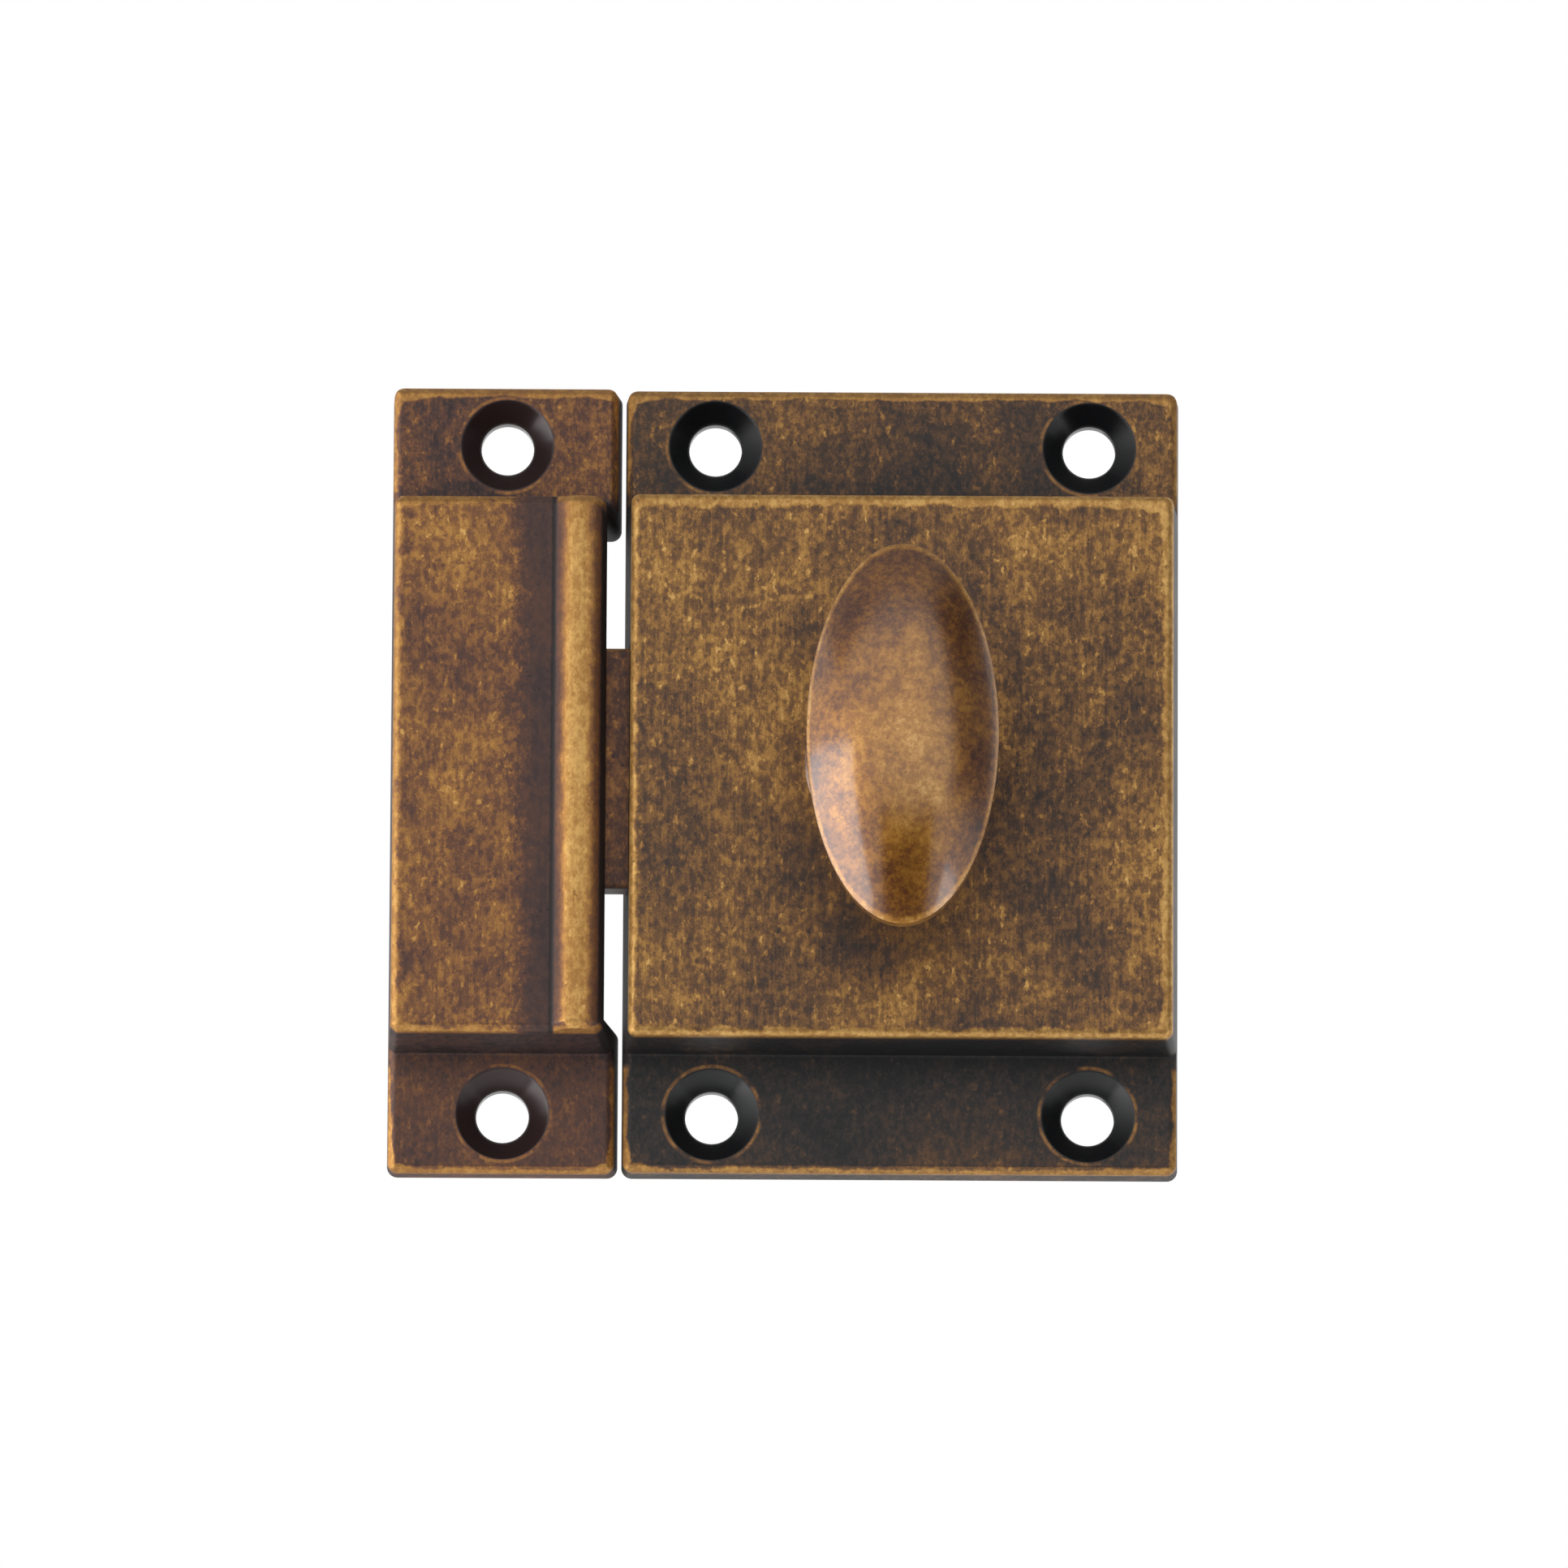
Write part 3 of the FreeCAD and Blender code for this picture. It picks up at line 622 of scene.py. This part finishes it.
def lamp(name, azimuth, pitch, distance, width, height, radiance, mirrored=True):
    """An area lamp of this radiance; one that isn't mirrored doesn't show in reflections."""
    data = bpy.data.lights.new(name, "AREA")
    data.shape = "RECTANGLE"
    data.size = width
    data.size_y = height
    data.energy = radiance * math.pi * width * height
    piece = bpy.data.objects.new(name, data)
    scene.collection.objects.link(piece)
    aim(piece, azimuth, pitch, distance)
    piece.visible_glossy = mirrored


lamp("front_soft", -20.0, 35.0, 1.1, 0.7, 0.7, 1.2, mirrored=False)
lamp("left_softbox", -73.0, -16.0, 0.5, 0.52, 0.44, 2.8)
lamp("right_low", 64.0, -30.0, 0.6, 0.2, 0.14, 2.2)


def panel(name, azimuth, pitch, distance, width, height, opacity):
    """A dark panel with soft borders that only reflections show."""
    mesh = bpy.data.meshes.new(name)
    side, end = width / 2, height / 2
    corners = [(-side, -end, 0), (side, -end, 0), (side, end, 0), (-side, end, 0)]
    mesh.from_pydata(corners, [], [(0, 1, 2, 3)])
    piece = bpy.data.objects.new(name, mesh)
    scene.collection.objects.link(piece)
    aim(piece, azimuth, pitch, distance)
    graph = Graph(name)
    from_border = graph.smaller(side / MM - abs(graph.x), end / MM - abs(graph.y))
    share = graph.step(from_border, 0.0, min(side, end) / 2 / MM) * opacity
    graph.put(graph.shader.inputs["Alpha"], share)
    dress(piece, graph.finish(PANEL_COLOUR, 0.0, 0.9, 0.0))
    piece.visible_camera = False
    piece.visible_diffuse = False
    piece.visible_shadow = False
    piece.visible_transmission = False


panel("panel_right", 73.0, 20.0, 0.6, 0.72, 0.8, 0.82)
panel("panel_below", 6.0, -31.0, 0.5, 0.6, 0.42, 0.97)
panel("panel_above", 0.0, 80.0, 0.6, 2.4, 1.0, 0.6)


def studio_floor():
    bpy.ops.mesh.primitive_plane_add(size=FLOOR_SIZE, location=(0.0, 0.0, FLOOR_HEIGHT))
    floor = bpy.context.object
    floor.name = "floor"
    graph = Graph("floor")
    tone = graph.clamp(graph.noise(400.0, 2.0) + 0.5)
    glow = Value(graph, shows_backdrop(graph.tree)) * FLOOR_GLOW
    graph.put(graph.shader.inputs["Emission Strength"], glow)
    graph.shader.inputs["Emission Color"].default_value = (1.0, 1.0, 1.0, 1.0)
    dress(floor, graph.finish(graph.blend(tone, FLOOR_DARK, FLOOR_PALE), 0.0, 0.85, 0.3))


studio_floor()
